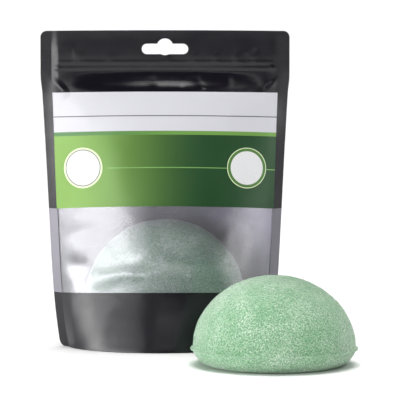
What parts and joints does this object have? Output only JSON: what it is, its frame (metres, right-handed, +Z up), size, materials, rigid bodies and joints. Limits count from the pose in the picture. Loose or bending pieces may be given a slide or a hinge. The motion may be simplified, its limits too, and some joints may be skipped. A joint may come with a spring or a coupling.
{
  "type": "konjac face sponge with stand-up pouch",
  "caption": "Half-ball konjac face sponge beside its black zip-top stand-up pouch, which has a hang slot, a plain label and a clear window over a packed sponge.",
  "frame": {"origin": "centre of the loose sponge's flat underside, on the table", "axes": "+Z up, +X to the right along the pouch's front, +Y from the loose sponge back towards the pouch"},
  "size_m": [0.157, 0.1304, 0.1595],
  "materials": {
    "sponge": "matte",
    "black_film": "satin",
    "clear_film": "gloss",
    "label": "satin",
    "badge": "satin",
    "zip_strip": "satin"
  },
  "bodies": {
    "pouch": {"front_lower_film": "black_film", "front_upper_film": "black_film", "window_film": "clear_film", "back_film": "black_film", "bottom_gusset": "black_film", "left_side_seal": "black_film", "right_side_seal": "black_film", "front_label": "label", "left_badge": "badge", "right_badge": "badge"},
    "front_lip": {"front_lip_film": "black_film", "zip_front_track": "zip_strip"},
    "back_lip": {"back_lip_film": "black_film", "zip_rear_track": "zip_strip"},
    "packed_sponge": {"packed_sponge": "sponge"},
    "loose_sponge": {"loose_sponge": "sponge"}
  },
  "joints": [
    {"name": "front_lip_fold", "type": "hinge", "parent": "pouch", "child": "front_lip", "pos_m": [-0.054, 0.06097, 0.1341], "axis": [1, 0, 0], "range_deg": [0, 40]},
    {"name": "back_lip_fold", "type": "hinge", "parent": "pouch", "child": "back_lip", "pos_m": [-0.054, 0.06903, 0.1341], "axis": [1, 0, 0], "range_deg": [-40, 0]},
    {"name": "packed_sponge_shift", "type": "slide", "parent": "pouch", "child": "packed_sponge", "axis": [0, 0, 1], "range_m": [0, 0.004]},
    {"name": "sponge_lift", "type": "slide", "parent": "pouch", "child": "loose_sponge", "axis": [0, 0, 1], "range_m": [0, 0.17]}
  ],
  "couplings": [
    {"joint": "back_lip_fold", "follows": "front_lip_fold", "ratio": -1}
  ]
}
